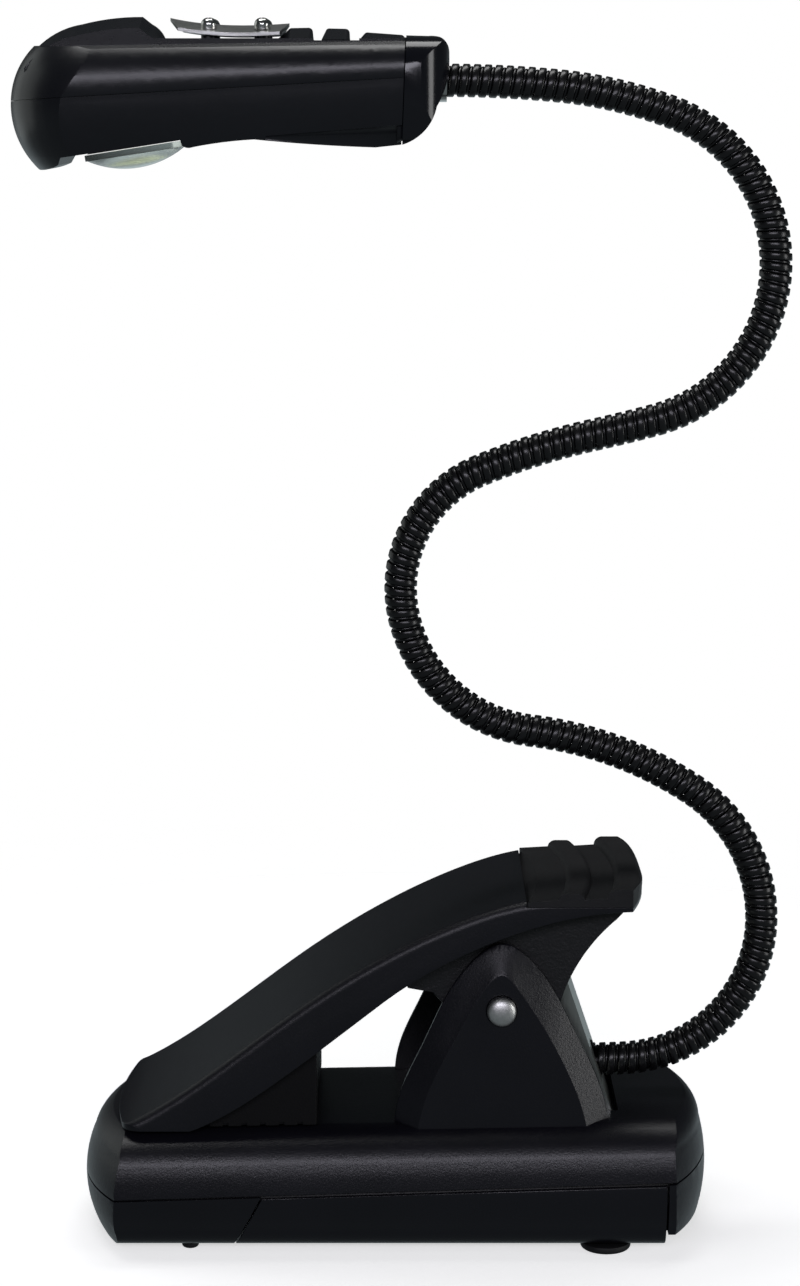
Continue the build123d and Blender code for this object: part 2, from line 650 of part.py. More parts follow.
def head_upper_shell():
    """Upper head shell with hood, spine floor, fixed ribs and the switch's slot."""
    slope, z_mid = part_slope()
    form = head_form() & above(z_mid, slope, 0.03)
    floor = block(-50.0, HEAD_REAR - 0.02, -SPINE_HALF_W, SPINE_HALF_W, 178.6, 181.2)
    rib_front = spine_rib(-18.5, -16.8, -13.2, 182.85, 182.9)
    rib_rear = spine_rib(-6.2, -5.5, HEAD_REAR - 0.02, 182.2, 181.85)
    shell = form + floor + hood() + rib_front + rib_rear
    shell -= head_hollow()
    shell -= block(-13.2, -6.2, -30, 30, 180.9, 190)
    shell -= block(-12.6, -7.0, -3.2, 3.2, 170, 190)
    for x, y in plate_screw_places():
        shell += Pos(x, y, 181.0) * Cylinder(
            1.2, 0.7, align=(Align.CENTER, Align.CENTER, Align.MIN))
        shell -= Pos(x, y, 178.9) * Cylinder(
            1.05, 4, align=(Align.CENTER, Align.CENTER, Align.MIN))
    return shell


def lens_place():
    """Lens plane: local Z points out of the head, down along the beam."""
    tilt = radians(LENS_TILT)
    return Plane((LENS_X, 0, LENS_Z), x_dir=(0, 1, 0), z_dir=(sin(tilt), 0, -cos(tilt)))


def head_lower_shell():
    """Lower head shell with the lens seat and the scalloped rear flanks."""
    slope, z_mid = part_slope()
    shell = head_form() & below(z_mid, slope, 0.03)
    shell -= head_hollow()
    seat = lens_place() * Cylinder(8.6, 30)
    shell -= seat & block(-60, -20, -20, 20, 150, 168.7)
    for side in (-1, 1):
        cutter = Plane((1.0, side * 13.2, 164.4), x_dir=(1, 0, 0.05),
                       z_dir=(-0.985, -side * 0.055, 0.10))
        scoop = cutter * Cone(4.4, 0.4, 21.0, align=(Align.CENTER, Align.CENTER, Align.MIN))
        shell -= scoop
    return shell


def head_end_cap():
    """Glossy end cap that carries the gooseneck's collar."""
    face = side_face([
        Line((HEAD_REAR + 0.15, 181.75), (4.0, 181.6)),
        ThreePointArc((4.0, 181.6), (6.3, 180.9), (7.1, 178.8)),
        ThreePointArc((7.1, 178.8), (6.6, 174.4), (5.2, 171.2)),
        ThreePointArc((5.2, 171.2), (3.7, 168.0), (0.15, 165.6)),
        Line((0.15, 165.6), (HEAD_REAR + 0.15, 181.75))])
    body = slab(face, 30)
    plan = extrude(make_face([
        Line((-2, -13.6), (1.5, -13.4)),
        ThreePointArc((1.5, -13.4), (5.2, -11.6), (6.9, -8.6)),
        ThreePointArc((6.9, -8.6), (7.3, 0), (6.9, 8.6)),
        ThreePointArc((6.9, 8.6), (5.2, 11.6), (1.5, 13.4)),
        Line((1.5, 13.4), (-2, 13.6)),
        Line((-2, 13.6), (-2, -13.6))]), 200)
    cross = make_face(mirrored([
        Line((0, 181.8), (8.0, 181.4)),
        ThreePointArc((8.0, 181.4), (11.6, 180.0), (13.1, 177.4)),
        ThreePointArc((13.1, 177.4), (13.2, 173.0), (12.0, 168.6)),
        ThreePointArc((12.0, 168.6), (10.9, 166.4), (9.2, 165.2)),
        Line((9.2, 165.2), (0, 165.2))]))
    body &= plan
    body &= extrude(Plane.YZ * cross, 60, both=True)
    x, z, _ = neck_state(neck_breaks()[-1])
    body -= Plane((x, 0, z), x_dir=(0, 1, 0), z_dir=(1, 0, 0)) * Cylinder(3.3, 12)
    return body


def head_collar():
    """Thin metal collar in the end cap that grips the gooseneck."""
    x, z, _ = neck_state(neck_breaks()[-1])
    place = Plane((1.4, 0, z), x_dir=(0, 1, 0), z_dir=(1, 0, 0))
    tube = place * Cylinder(3.25, 5.4, align=(Align.CENTER, Align.CENTER, Align.MIN))
    bore = Plane((x, 0, z), x_dir=(0, 1, 0), z_dir=(1, 0, 0)) * Cylinder(
        NECK_R + 0.02, 20, align=(Align.CENTER, Align.CENTER, Align.MIN))
    return tube - bore


def plate_screw_places():
    """Centres of the four screws of the top plate."""
    return [(x, y) for x in (-28.5, -20.6) for y in (-3.6, 3.6)]


def top_plate():
    """Thin metal plate over the spine, roof-shaped, flared up at its nose end."""
    t = 0.5
    top = [(-34.5, 184.35), (-31.2, 183.75), (-24.0, 183.25), (-16.6, 183.55)]
    face = [
        Spline(*top),
        Line(top[-1], (top[-1][0], top[-1][1] - t)),
        Spline(*[(x, z - t) for x, z in reversed(top)]),
        Line((top[0][0], top[0][1] - t), top[0])]
    plate = roof_bar(face, 6.1, PLATE_FALL)
    outline = make_face([Polyline((-34.5, 0), (-32.9, -6.4), (-18.0, -6.4), (-16.7, 0),
                                  (-18.0, 6.4), (-32.9, 6.4), (-34.5, 0))])
    plate &= extrude(outline, 200)
    for x, y in plate_screw_places():
        plate -= Pos(x, y, 183) * Cylinder(0.95, 6)
    return plate


def plate_screws():
    """Four domed cross-head screws, square to the plate's slopes."""
    screws = []
    for x, y in plate_screw_places():
        side = -1 if y < 0 else 1
        z = 183.52 - PLATE_FALL * abs(y)
        place = Plane((x, y, z), x_dir=(1, 0, 0), z_dir=(0, side * PLATE_FALL, 1))
        head = Cylinder(1.2, 1.5, align=(Align.CENTER, Align.CENTER, Align.MIN))
        head = fillet(head.edges().group_by(Axis.Z)[-1], 1.0)
        for turn in (0, 90):
            head -= Pos(0, 0, 1.35) * Rot(0, 0, turn + 20) * Box(1.3, 0.3, 0.8)
        shank = Pos(0, 0, -2.4) * Cylinder(0.6, 2.45, align=(Align.CENTER, Align.CENTER, Align.MIN))
        screws.append(place * (head + shank))
    return Compound(children=screws)


def switch_knob():
    """Raised thumb piece of the slide switch, with its stem through the slot."""
    knob = spine_rib(-11.9, -11.2, -7.7, 182.8, 182.75)
    knob &= block(-20, 0, -30, 30, 181.0, 190)
    stem = block(-10.6, -9.0, -2.6, 2.6, 176.6, 181.3)
    return knob + stem


def switch_body():
    """Switch housing on the board under the slot."""
    body = block(-14.6, -5.0, -4.0, 4.0, 171.6, 177.2)
    return body - block(-12.6, -7.0, -3.0, 3.0, 176.0, 178)


def led_board():
    """Round aluminium board behind the lens."""
    return lens_place() * Pos(0, 0, -3.6) * Cylinder(8.0, 1.0, align=(Align.CENTER, Align.CENTER, Align.MIN))


def led():
    """Domed LED on its square package."""
    package = Box(3.4, 3.4, 0.8, align=(Align.CENTER, Align.CENTER, Align.MIN))
    dome = Pos(0, 0, 0.8) * (Sphere(1.3) & Box(4, 4, 4, align=(Align.CENTER, Align.CENTER, Align.MIN)))
    return lens_place() * Pos(0, 0, -2.6) * (package + dome)


def reflector_cup():
    """Open conical reflector round the LED."""
    base_z, rim_z = -2.5, -0.2
    outer = Cone(3.6, 7.3, rim_z - base_z, align=(Align.CENTER, Align.CENTER, Align.MIN))
    inner = Cone(2.9, 6.8, rim_z - base_z + 0.02, align=(Align.CENTER, Align.CENTER, Align.MIN))
    return lens_place() * Pos(0, 0, base_z) * (outer - inner)


def lens():
    """Clear domed lens with a thin rim."""
    rim = Cylinder(LENS_R, 0.9, align=(Align.CENTER, Align.CENTER, Align.MIN))
    height = 2.1
    sphere_r = ((LENS_R - 0.3) ** 2 + height ** 2) / (2 * height)
    dome = Pos(0, 0, 0.9 + height - sphere_r) * Sphere(sphere_r)
    dome &= Pos(0, 0, 0.9) * Cylinder(LENS_R - 0.3, 5, align=(Align.CENTER, Align.CENTER, Align.MIN))
    return lens_place() * Pos(0, 0, -0.1) * (rim + dome)


def lens_bezel():
    """Ring that holds the lens in its seat."""
    ring = Cylinder(8.5, 2.2, align=(Align.CENTER, Align.CENTER, Align.MIN))
    ring -= Cylinder(LENS_R + 0.05, 8)
    return lens_place() * Pos(0, 0, -1.5) * ring


# ---------------------------------------------------------------- build every sub-part
near_cheek = cheek()
neck_length = neck_breaks()[-1]
PARTS = {
    "base_upper_shell": base_upper_shell(),
    "base_lower_shell": base_lower_shell(),
    "battery_door": battery_door(),
    "battery_cells": battery_cells(),
    "battery_springs": battery_springs(),
    "battery_contacts": battery_contacts(),
    "rubber_feet": rubber_feet(),
    "front_nubs": front_nubs(),
    "lower_jaw_pad": lower_jaw_pad(),
    "cheek_near": near_cheek,
    "cheek_far": mirror(near_cheek, Plane.XZ),
    "steel_bracket": steel_bracket(),
    "pivot_pin": pivot_pin(),
    "torsion_spring": torsion_spring(),
    "clamp_lever": clamp_lever(),
    "lever_core": lever_core(),
    "thumb_grip": thumb_grip(),
    "upper_jaw_pad": upper_jaw_pad(),
    "neck_ferrule": neck_ferrule(),
    "head_collar": head_collar(),
    "head_end_cap": head_end_cap(),
    "head_upper_shell": head_upper_shell(),
    "head_lower_shell": head_lower_shell(),
    "top_plate": top_plate(),
    "plate_screws": plate_screws(),
    "switch_knob": switch_knob(),
    "switch_body": switch_body(),
    "led_board": led_board(),
    "led": led(),
    "reflector_cup": reflector_cup(),
    "lens": lens(),
    "lens_bezel": lens_bezel(),
}
stops = [0.0] + NECK_JOINTS + [neck_length]
for i, (start, end) in enumerate(zip(stops, stops[1:])):
    first, last = i == 0, i == len(NECK_JOINTS)
    PARTS[f"neck_{i + 1}"] = neck_segment(start, end, socket=not first, ball=not last)

for name, shape in PARTS.items():
    save(shape, name)

for distance in NECK_JOINTS + [neck_length]:
    x, z, heading = neck_state(distance)
    print(f"neck at {distance:.1f} mm: x {x:.3f} z {z:.3f} heading {heading:.2f}")
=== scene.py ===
# %% [markdown]
# # A clip on reading lamp
# This lesson dresses a finished mechanical model of a small battery lamp: a moulded base
# with a sprung clip lever, a bendable gooseneck and a little lamp head. The mechanical
# model is loaded as a fixed frame. Everything made here is in metres, with Z up, in the
# same place as that frame.

# %% Load the mechanical model
import bpy
import bmesh
import json
from math import cos, pi, radians, sin
from mathutils import Matrix, Vector


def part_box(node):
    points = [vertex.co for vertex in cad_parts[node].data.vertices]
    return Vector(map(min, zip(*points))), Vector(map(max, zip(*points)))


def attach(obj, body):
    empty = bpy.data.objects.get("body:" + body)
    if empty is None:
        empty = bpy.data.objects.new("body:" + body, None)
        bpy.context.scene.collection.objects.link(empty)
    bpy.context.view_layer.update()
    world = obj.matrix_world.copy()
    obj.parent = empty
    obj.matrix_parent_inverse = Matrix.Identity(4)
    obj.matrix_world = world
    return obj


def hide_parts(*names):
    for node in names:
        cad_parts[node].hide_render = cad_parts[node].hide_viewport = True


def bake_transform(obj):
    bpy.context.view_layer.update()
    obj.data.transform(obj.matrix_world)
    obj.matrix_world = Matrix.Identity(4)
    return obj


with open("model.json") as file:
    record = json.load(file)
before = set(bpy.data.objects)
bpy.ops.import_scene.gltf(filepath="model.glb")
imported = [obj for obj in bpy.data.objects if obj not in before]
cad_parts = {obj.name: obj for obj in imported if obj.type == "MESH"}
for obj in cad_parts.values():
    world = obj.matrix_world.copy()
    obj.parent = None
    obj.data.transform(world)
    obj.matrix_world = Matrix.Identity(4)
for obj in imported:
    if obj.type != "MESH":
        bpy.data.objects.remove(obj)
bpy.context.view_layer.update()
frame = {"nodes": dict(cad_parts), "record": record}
MM = 0.001
nodes = frame["nodes"]

# %% [markdown]
# ## The camera
# Small products are photographed from a little above the middle with a long lens, so
# that the upright lines stay nearly upright. A slight downward tilt and a small shift of
# the lens do that here. Depth of field stays off.

# %% Place the camera
camera_data = bpy.data.cameras.new("camera")
camera = bpy.data.objects.new("camera", camera_data)
bpy.context.scene.collection.objects.link(camera)
bpy.context.scene.camera = camera
camera.location = (-0.00019, -0.45385, 0.172)
camera.rotation_euler = (radians(90 - 5.64), 0, 0)
camera_data.sensor_width = 36
camera_data.lens = 84.38
camera_data.shift_y = -0.19
camera_data.clip_start = 0.01
camera_data.dof.use_dof = False
print("camera lens", camera_data.lens)

# %% [markdown]
# ## Floor and light
# A dark glossy object is shown mostly by what it reflects. Large soft boxes give broad
# gentle highlights, and a dim surround keeps the rest of the plastic deep black. A
# brighter card lies low behind the lamp, for the steel plate to catch. The background is
# white only where the camera sees it directly.

# %% Stage helpers
scene = bpy.context.scene
scene.view_settings.view_transform = "Standard"


def softbox(name, place, aim, width, height, watts, colour=(1, 1, 1)):
    """Rectangular area light that looks from its place towards a point."""
    data = bpy.data.lights.new(name, "AREA")
    data.shape = "RECTANGLE"
    data.size = width
    data.size_y = height
    data.energy = watts
    data.color = colour
    light = bpy.data.objects.new(name, data)
    light.location = place
    light.rotation_euler = (Vector(aim) - Vector(place)).to_track_quat("-Z", "Y").to_euler()
    scene.collection.objects.link(light)


# %% Soft boxes
softbox("top_box", (-0.05, 0.10, 0.70), (0, 0, 0.1), 0.50, 0.22, 1.6)
softbox("front_box", (-0.05, -0.80, 0.42), (0, 0, 0.08), 0.75, 0.16, 2.4, (0.90, 0.88, 1.0))
softbox("left_box", (-0.50, 0.26, 0.24), (0, 0, 0.12), 0.50, 0.50, 0.42, (0.95, 1.0, 0.98))
softbox("right_box", (0.58, -0.22, 0.12), (0, 0, 0.08), 0.16, 0.46, 0.85)

# %% Surround
DIM = 0.035          # everywhere
FROM_BELOW = 0.09    # added below the horizon
FROM_BEHIND = 0.45   # the low card behind the lamp
world = bpy.data.worlds.new("surround")
scene.world = world
world.use_nodes = True
tree = world.node_tree
tree.nodes.clear()
seen = tree.nodes.new("ShaderNodeBackground")
seen.inputs["Color"].default_value = (1, 1, 1, 1)
seen.inputs["Strength"].default_value = 1.0
direction = tree.nodes.new("ShaderNodeTexCoord")
axes = tree.nodes.new("ShaderNodeSeparateXYZ")
tree.links.new(direction.outputs["Generated"], axes.inputs[0])
below = tree.nodes.new("ShaderNodeMapRange")
below.inputs["From Min"].default_value = 0.10
below.inputs["From Max"].default_value = -0.25
behind = tree.nodes.new("ShaderNodeMapRange")
behind.inputs["From Min"].default_value = 0.45
behind.inputs["From Max"].default_value = 0.90
behind.inputs["To Max"].default_value = FROM_BEHIND
tree.links.new(axes.outputs["Z"], below.inputs["Value"])
tree.links.new(axes.outputs["Y"], behind.inputs["Value"])
low_card = tree.nodes.new("ShaderNodeMath")
low_card.operation = "MULTIPLY_ADD"
low_card.inputs[2].default_value = FROM_BELOW
tree.links.new(below.outputs[0], low_card.inputs[0])
tree.links.new(behind.outputs[0], low_card.inputs[1])
level = tree.nodes.new("ShaderNodeMath")
level.operation = "MULTIPLY_ADD"
level.inputs[2].default_value = DIM
tree.links.new(below.outputs[0], level.inputs[0])
tree.links.new(low_card.outputs[0], level.inputs[1])
reflected = tree.nodes.new("ShaderNodeBackground")
reflected.inputs["Color"].default_value = (0.82, 0.95, 1.0, 1)
tree.links.new(level.outputs[0], reflected.inputs["Strength"])
path = tree.nodes.new("ShaderNodeLightPath")
mix = tree.nodes.new("ShaderNodeMixShader")
output = tree.nodes.new("ShaderNodeOutputWorld")
tree.links.new(path.outputs["Is Camera Ray"], mix.inputs["Fac"])
tree.links.new(reflected.outputs[0], mix.inputs[1])
tree.links.new(seen.outputs[0], mix.inputs[2])
tree.links.new(mix.outputs[0], output.inputs["Surface"])
print("surround:", DIM, "dim,", FROM_BELOW, "from below,", FROM_BEHIND, "from behind")

# %% [markdown]
# ## Shader maths
# Long chains of Math nodes are hard to read. A small class wraps one output socket, and
# Python's own operators add the nodes, so a mask can be written as `1 - noise * 0.5`.


# %% A socket with operators
class Wire:
    """One output socket of a node tree."""

    def __init__(self, tree, socket=None):
        self.tree = tree
        self.socket = socket

    def node(self, kind, settings=None, inputs=None, output=0):
        """Adds a node: its settings first, then the values or links of its inputs."""
        made = self.tree.nodes.new(kind)
        for key, value in (settings or {}).items():
            setattr(made, key, value)
        for key, value in (inputs or {}).items():
            if isinstance(value, Wire):
                self.tree.links.new(value.socket, made.inputs[key])
            else:
                made.inputs[key].default_value = value
        return Wire(self.tree, made.outputs[output])

    def maths(self, operation, *values):
        """A Math node on numbers or wires."""
        return self.node("ShaderNodeMath", {"operation": operation}, dict(enumerate(values)))

    def __add__(self, other):
        return self.maths("ADD", self, other)

    def __radd__(self, other):
        return self.maths("ADD", other, self)

    def __sub__(self, other):
        return self.maths("SUBTRACT", self, other)

    def __rsub__(self, other):
        return self.maths("SUBTRACT", other, self)

    def __mul__(self, other):
        return self.maths("MULTIPLY", self, other)

    def __rmul__(self, other):
        return self.maths("MULTIPLY", other, self)


# %% [markdown]
# ## Finishes
# Every finish starts from the same few things: a Principled shader, the Object
# coordinates and some noise. The coordinates are in metres, so a noise scale of 3000
# makes grains about a third of a millimetre across.


# %% Start a finish
class Finish:
    """A material with one Principled shader, and the wires that most finishes need."""

    def __init__(self, name, **constants):
        self.material = bpy.data.materials.new(name)
        self.material.use_nodes = True
        self.tree = self.material.node_tree
        self.tree.nodes.clear()
        self.start = Wire(self.tree)
        self.place = self.start.node("ShaderNodeTexCoord", output="Object")
        self.shader = self.tree.nodes.new("ShaderNodeBsdfPrincipled")
        end = self.tree.nodes.new("ShaderNodeOutputMaterial")
        self.tree.links.new(self.shader.outputs[0], end.inputs["Surface"])
        for key, value in constants.items():
            self.shader.inputs[key.replace("_", " ")].default_value = value

    def noise(self, scale, detail=2.0, roughness=0.5, place=None):
        """Noise from 0 to 1 with grains of about 1 / scale metres."""
        return self.start.node(
            "ShaderNodeTexNoise", {}, {"Vector": place or self.place, "Scale": scale,
                                       "Detail": detail, "Roughness": roughness})

    def colours(self, mask, low, high):
        """A colour that runs from low to high with the mask."""
        return self.start.node(
            "ShaderNodeMix", {"data_type": "RGBA"},
            {0: mask, 6: (*low, 1), 7: (*high, 1)}, output=2)

    def bump(self, height, distance, strength=1.0):
        """Surface relief from a height of 0 to 1, as deep as the distance in metres."""
        return self.start.node(
            "ShaderNodeBump", {}, {"Height": height, "Distance": distance, "Strength": strength})

    def feed(self, **wires):
        """Links wires to the shader's sockets."""
        for key, wire in wires.items():
            self.tree.links.new(wire.socket, self.shader.inputs[key.replace("_", " ")])
        return self.material

    def edge(self):
        """1 on the rounded edges that a softened copy records, and 0 elsewhere."""
        return self.start.node("ShaderNodeAttribute", {"attribute_name": "edge"}, output="Fac")


# %% [markdown]
# ### Satin moulded plastic
# The shells come from a mould whose steel was eroded by sparks, which leaves a fine
# even grain. The pigment is a very dark blue black. Handling polishes the edges a
# little, so they shine more than the faces.


# %% Satin shells and the grained lever core
def moulded(name, low, high, grain, depth, rough, sheen):
    """Black plastic with spark grain, cloudy gloss and polished edges."""
    finish = Finish(name, Specular_IOR_Level=sheen)
    cloud = finish.noise(90, 3)
    fine = finish.noise(grain, 3, 0.62)
    coarse = finish.noise(grain * 0.37, 2)
    height = fine * 0.7 + coarse * 0.3
    return finish.feed(
        Base_Color=finish.colours(cloud * 0.6 + fine * 0.4, low, high),
        Roughness=rough + cloud * 0.06 + (fine - 0.5) * 0.10 - finish.edge() * 0.07,
        Normal=finish.bump(height, depth))


shell_black = moulded("satin_shell", (0.0030, 0.0030, 0.0050), (0.0075, 0.0072, 0.0120),
                      3600, 0.000050, 0.37, 0.50)
core_black = moulded("grained_core", (0.0028, 0.0029, 0.0036), (0.0100, 0.0100, 0.0115),
                     2300, 0.000140, 0.50, 0.50)

# %% [markdown]
# ### The smoother head and its glossy cap
# The head's mould was polished more, so its highlights are tighter. Its end cap is
# glossy, with the faint waviness that every polished moulding shows.


# %% Polished mouldings
def polished(name, colour, rough, wave):
    """Smooth black plastic with slow waves in its gloss."""
    finish = Finish(name, Specular_IOR_Level=0.5)
    cloud = finish.noise(70, 2)
    haze = finish.noise(900, 4, 0.6)
    dust = finish.noise(5200, 2)
    low = tuple(c * 0.7 for c in colour)
    return finish.feed(
        Base_Color=finish.colours(cloud * 0.7 + haze * 0.3, low, colour),
        Roughness=rough + cloud * 0.05 + haze * 0.04 - finish.edge() * 0.04,
        Normal=finish.bump(haze * 0.25 + dust * 0.35 + cloud * 0.4, wave))


head_black = polished("head_plastic", (0.0085, 0.0090, 0.0125), 0.27, 0.000016)
cap_black = polished("cap_plastic", (0.0080, 0.0085, 0.0120), 0.13, 0.000006)

# %% [markdown]
# ### Rubber
# The thumb grip, the jaw pads and the feet are soft rubber. Rubber has almost no shine,
# a fine tooth and a little pale bloom in its hollows.

# %% Rubber
rubber = Finish("soft_rubber", Specular_IOR_Level=0.42)
bloom = rubber.noise(260, 3)
tooth = rubber.noise(4200, 2, 0.6)
grip_rubber = rubber.feed(
    Base_Color=rubber.colours(bloom * 0.7 + tooth * 0.3,
                              (0.0040, 0.0041, 0.0050), (0.0125, 0.0125, 0.0140)),
    Roughness=0.56 + bloom * 0.14 - rubber.edge() * 0.06,
    Normal=rubber.bump(tooth, 0.000040))


# %% The jaw pads' rubber, darkened as painted shade
# A darker, less shiny copy of the rubber: painted shade for the shadow under the lever.
pad = Finish("pad_rubber_painted_shade", Specular_IOR_Level=0.22)
dust = pad.noise(300, 3)
pores = pad.noise(3600, 2, 0.6)
pad_rubber_painted_shade = pad.feed(
    Base_Color=pad.colours(dust * 0.6 + pores * 0.4,
                           (0.0020, 0.0020, 0.0024), (0.0062, 0.0061, 0.0066)),
    Roughness=0.66 + dust * 0.14,
    Normal=pad.bump(pores, 0.000040))

# %% [markdown]
# ### Metals
# The bracket and the springs are plated steel. The pin and the screws are nickel. The
# small plate on the head is brushed, so its noise is stretched along the brushing by a
# Mapping node.


# %% Metal finishes
def metal(name, low, high, rough, stretch, depth):
    """Metal with its noise stretched along one direction."""
    finish = Finish(name, Metallic=1.0)
    along = finish.start.node("ShaderNodeMapping", {}, {"Vector": finish.place, "Scale": stretch})
    streak = finish.noise(1.0, 3, 0.6, along)
    cloud = finish.noise(160, 2)
    return finish.feed(
        Base_Color=finish.colours(streak * 0.6 + cloud * 0.4, low, high),
        Roughness=rough + streak * 0.14 + cloud * 0.06,
        Normal=finish.bump(streak, depth))


steel = metal("plated_steel", (0.36, 0.38, 0.36), (0.52, 0.54, 0.50),
              0.26, (2600, 2600, 260), 0.000010)
nickel = metal("nickel", (0.62, 0.62, 0.60), (0.80, 0.80, 0.78),
               0.10, (1500, 1500, 1500), 0.000006)
rivet = metal("rivet_nickel", (0.66, 0.66, 0.64), (0.86, 0.86, 0.84),
              0.34, (1900, 1900, 1900), 0.000030)
plate = metal("brushed_plate", (0.58, 0.58, 0.56), (0.82, 0.82, 0.80),
              0.20, (220, 4200, 4200), 0.000010)

# %% [markdown]
# ### The gooseneck's black coating
# The wire is coated black and rubs against itself when it bends, so its crowns are
# smoother than its sides.

# %% Gooseneck coating
coating = Finish("neck_coating", Specular_IOR_Level=0.55)
wear = coating.noise(420, 3)
pits = coating.noise(3800, 2)
neck_black = coating.feed(
    Base_Color=coating.colours(wear, (0.0030, 0.0030, 0.0034), (0.0090, 0.0090, 0.0098)),
    Roughness=0.20 + wear * 0.12 + pits * 0.05,
    Normal=coating.bump(pits * 0.5 + wear * 0.5, 0.000012))

# %% [markdown]
# ### Lens, reflector and the parts inside
# The lens is clear acrylic, a little frosted, so the yellow green light source behind
# it shows as a soft tint. The inner parts are seen when the lever or the door opens.

# %% Clear and inner finishes
clear = Finish("lens_acrylic", Transmission_Weight=1.0, IOR=1.45)
frost = clear.noise(1800, 3)
lens_clear = clear.feed(
    Base_Color=clear.colours(frost, (0.86, 0.90, 0.84), (0.94, 0.97, 0.93)),
    Roughness=0.10 + frost * 0.12,
    Normal=clear.bump(frost, 0.000010))


def plain(name, low, high, rough, grain, metallic=0.0):
    """Simple finish with a slightly uneven colour, gloss and surface."""
    finish = Finish(name, Metallic=metallic)
    cloud = finish.noise(grain * 0.1, 2)
    fine = finish.noise(grain, 3)
    return finish.feed(
        Base_Color=finish.colours(cloud * 0.6 + fine * 0.4, low, high),
        Roughness=rough + fine * 0.12,
        Normal=finish.bump(fine, 0.000010))


reflector = plain("reflector", (0.62, 0.68, 0.40), (0.80, 0.84, 0.58), 0.16, 1200, 0.8)
led_yellow = plain("phosphor", (0.80, 0.70, 0.18), (0.92, 0.84, 0.30), 0.50, 3500)
board = plain("board", (0.62, 0.63, 0.60), (0.74, 0.75, 0.72), 0.42, 2500)
cell = plain("cell_sleeve", (0.030, 0.055, 0.110), (0.045, 0.080, 0.150), 0.26, 1400)
white_part = plain("switch_plastic", (0.42, 0.42, 0.41), (0.55, 0.55, 0.53), 0.40, 2800)

# %% Give the frame's nodes their finishes
finish_of = {
    "shell_black": shell_black, "core_black": core_black, "head_black": head_black,
    "cap_black": cap_black, "grip_rubber": grip_rubber, "steel": steel, "nickel": nickel,
    "plate": plate, "neck_black": neck_black, "lens_clear": lens_clear,
    "reflector": reflector, "led_yellow": led_yellow, "board": board, "cell": cell,
    "white_part": white_part}
slot_of = {row["node"]: row["material_slot"] for row in frame["record"]["subparts"]}
for name, node in nodes.items():
    node.data.materials.clear()
    node.data.materials.append(finish_of[slot_of[name]])
print("finishes:", len(finish_of))

# %% [markdown]
# ## Floor
# One pale round sheet under the lamp. It fades to clear at its rim, so no horizon shows
# against the white surround, and it stays out of the reflections to keep the plastic
# dark.

# %% Floor sheet
FLOOR_RADIUS = 0.30
FADE_START, FADE_END = 0.10, 0.26
sheet = Finish("floor_paint", Roughness=0.9, Specular_IOR_Level=0.0, Emission_Strength=0.62)
tone = sheet.noise(3, 2)
from_lamp = sheet.start.node(
    "ShaderNodeVectorMath", {"operation": "LENGTH"}, {0: sheet.place}, "Value")
fade = sheet.start.node(
    "ShaderNodeMapRange", {"interpolation_type": "SMOOTHSTEP"},
    {"Value": from_lamp, "From Min": FADE_START, "From Max": FADE_END,
     "To Min": 0.0, "To Max": 1.0})
sheet.feed(Base_Color=sheet.colours(tone, (0.90, 0.90, 0.90), (0.94, 0.94, 0.94)),
           Emission_Color=sheet.colours(tone, (0.97, 0.97, 0.97), (1.0, 1.0, 1.0)))
nothing = sheet.start.node("ShaderNodeBsdfTransparent")
both = sheet.tree.nodes.new("ShaderNodeMixShader")
sheet.tree.links.new(fade.socket, both.inputs["Fac"])
sheet.tree.links.new(sheet.shader.outputs[0], both.inputs[1])
sheet.tree.links.new(nothing.socket, both.inputs[2])
sheet.tree.links.new(both.outputs[0], sheet.tree.nodes["Material Output"].inputs["Surface"])
work = bmesh.new()
bmesh.ops.create_circle(work, cap_ends=True, segments=64, radius=FLOOR_RADIUS)
floor_mesh = bpy.data.meshes.new("floor")
work.to_mesh(floor_mesh)
work.free()
floor = bpy.data.objects.new("floor", floor_mesh)
floor.data.materials.append(sheet.material)
floor.visible_glossy = False
floor.visible_diffuse = False
floor.visible_shadow = False
scene.collection.objects.link(floor)
print("floor radius", FLOOR_RADIUS, "m, clear from", FADE_END, "m")

# %% [markdown]
# ## Softened mouldings
# Real mouldings have no sharp edges, and a small radius catches a fine line of light.
# Each shell is copied, its triangles are merged and flattened into clean faces, and
# every sharp edge gets a small bevel. The new faces are remembered in an attribute, so
# that the finish can be smoother there.


# %% Softening helper
SAME_POINT = 0.002 * MM
FLAT_WITHIN = radians(0.8)


def new_piece(name, work, slot, body=None):
    """Turns a bmesh into an object that rides on a body."""
    mesh = bpy.data.meshes.new(name)
    work.to_mesh(mesh)
    work.free()
    piece = bpy.data.objects.new(name, mesh)
    mesh.materials.append(finish_of[slot])
    scene.collection.objects.link(piece)
    if body:
        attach(piece, body)
    return piece


body_of = {n: b for b, members in frame["record"]["behaviour"]["bodies"].items() for n in members}


def clean_copy(node):
    """A frame node's triangles, merged and flattened into clean faces."""
    work = bmesh.new()
    work.from_mesh(nodes[node].data)
    bmesh.ops.remove_doubles(work, verts=work.verts, dist=SAME_POINT)
    bmesh.ops.dissolve_limit(work, angle_limit=FLAT_WITHIN, verts=work.verts,
                             edges=work.edges, use_dissolve_boundaries=False)
    return work


